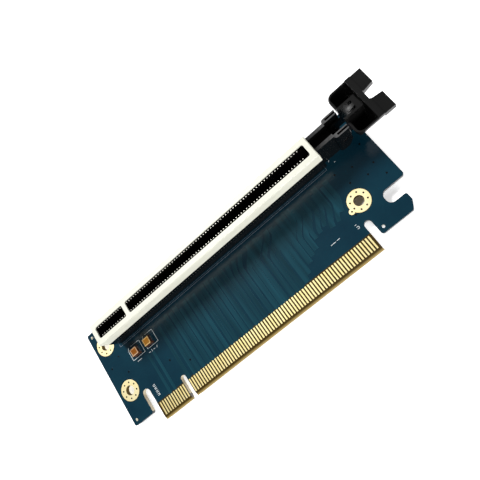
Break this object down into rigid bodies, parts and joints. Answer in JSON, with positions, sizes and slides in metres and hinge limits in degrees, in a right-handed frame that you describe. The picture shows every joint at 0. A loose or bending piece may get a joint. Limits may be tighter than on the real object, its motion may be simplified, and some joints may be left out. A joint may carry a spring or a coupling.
{
  "type": "pcie riser card",
  "caption": "Low riser board with a keyed gold edge, a long ivory-and-black card slot on its face, a hinged retention latch, three plated holes and two chip capacitors.",
  "frame": {"origin": "on the component face, where the key's centre line meets the gold edge", "axes": "+X along the gold edge towards the retention latch, +Y from the gold edge up the board, +Z out of the component face, so the card lies on its solder side"},
  "size_m": [0.1223, 0.0404, 0.0162],
  "materials": {
    "board": "satin solder mask",
    "gold": "polished plating",
    "pad_gold": "polished plating",
    "black_plastic": "satin moulded",
    "ivory_plastic": "satin moulded",
    "contact_metal": "bright stamped",
    "lever_plastic": "satin moulded",
    "capacitor_orange": "moulded epoxy",
    "tin": "tinned"
  },
  "bodies": {
    "card": {"circuit_board": "board", "edge_fingers_front": "gold", "edge_fingers_back": "gold", "mounting_ring_lower_left": "pad_gold", "mounting_ring_upper_left": "pad_gold", "mounting_ring_right": "pad_gold", "slot_base": "black_plastic", "slot_shell": "ivory_plastic", "contacts_lower_inner_row": "contact_metal", "contacts_lower_outer_row": "contact_metal", "contacts_upper_inner_row": "contact_metal", "contacts_upper_outer_row": "contact_metal", "capacitor_left_body": "capacitor_orange", "capacitor_left_terminals": "tin", "capacitor_right_body": "capacitor_orange", "capacitor_right_terminals": "tin"},
    "latch": {"latch_lever": "lever_plastic"}
  },
  "joints": [
    {"name": "latch_pivot", "type": "hinge", "parent": "card", "child": "latch", "pos_m": [0.08425, 0.03315, 0.006], "axis": [0, 1, 0], "range_deg": [0, 25]}
  ]
}
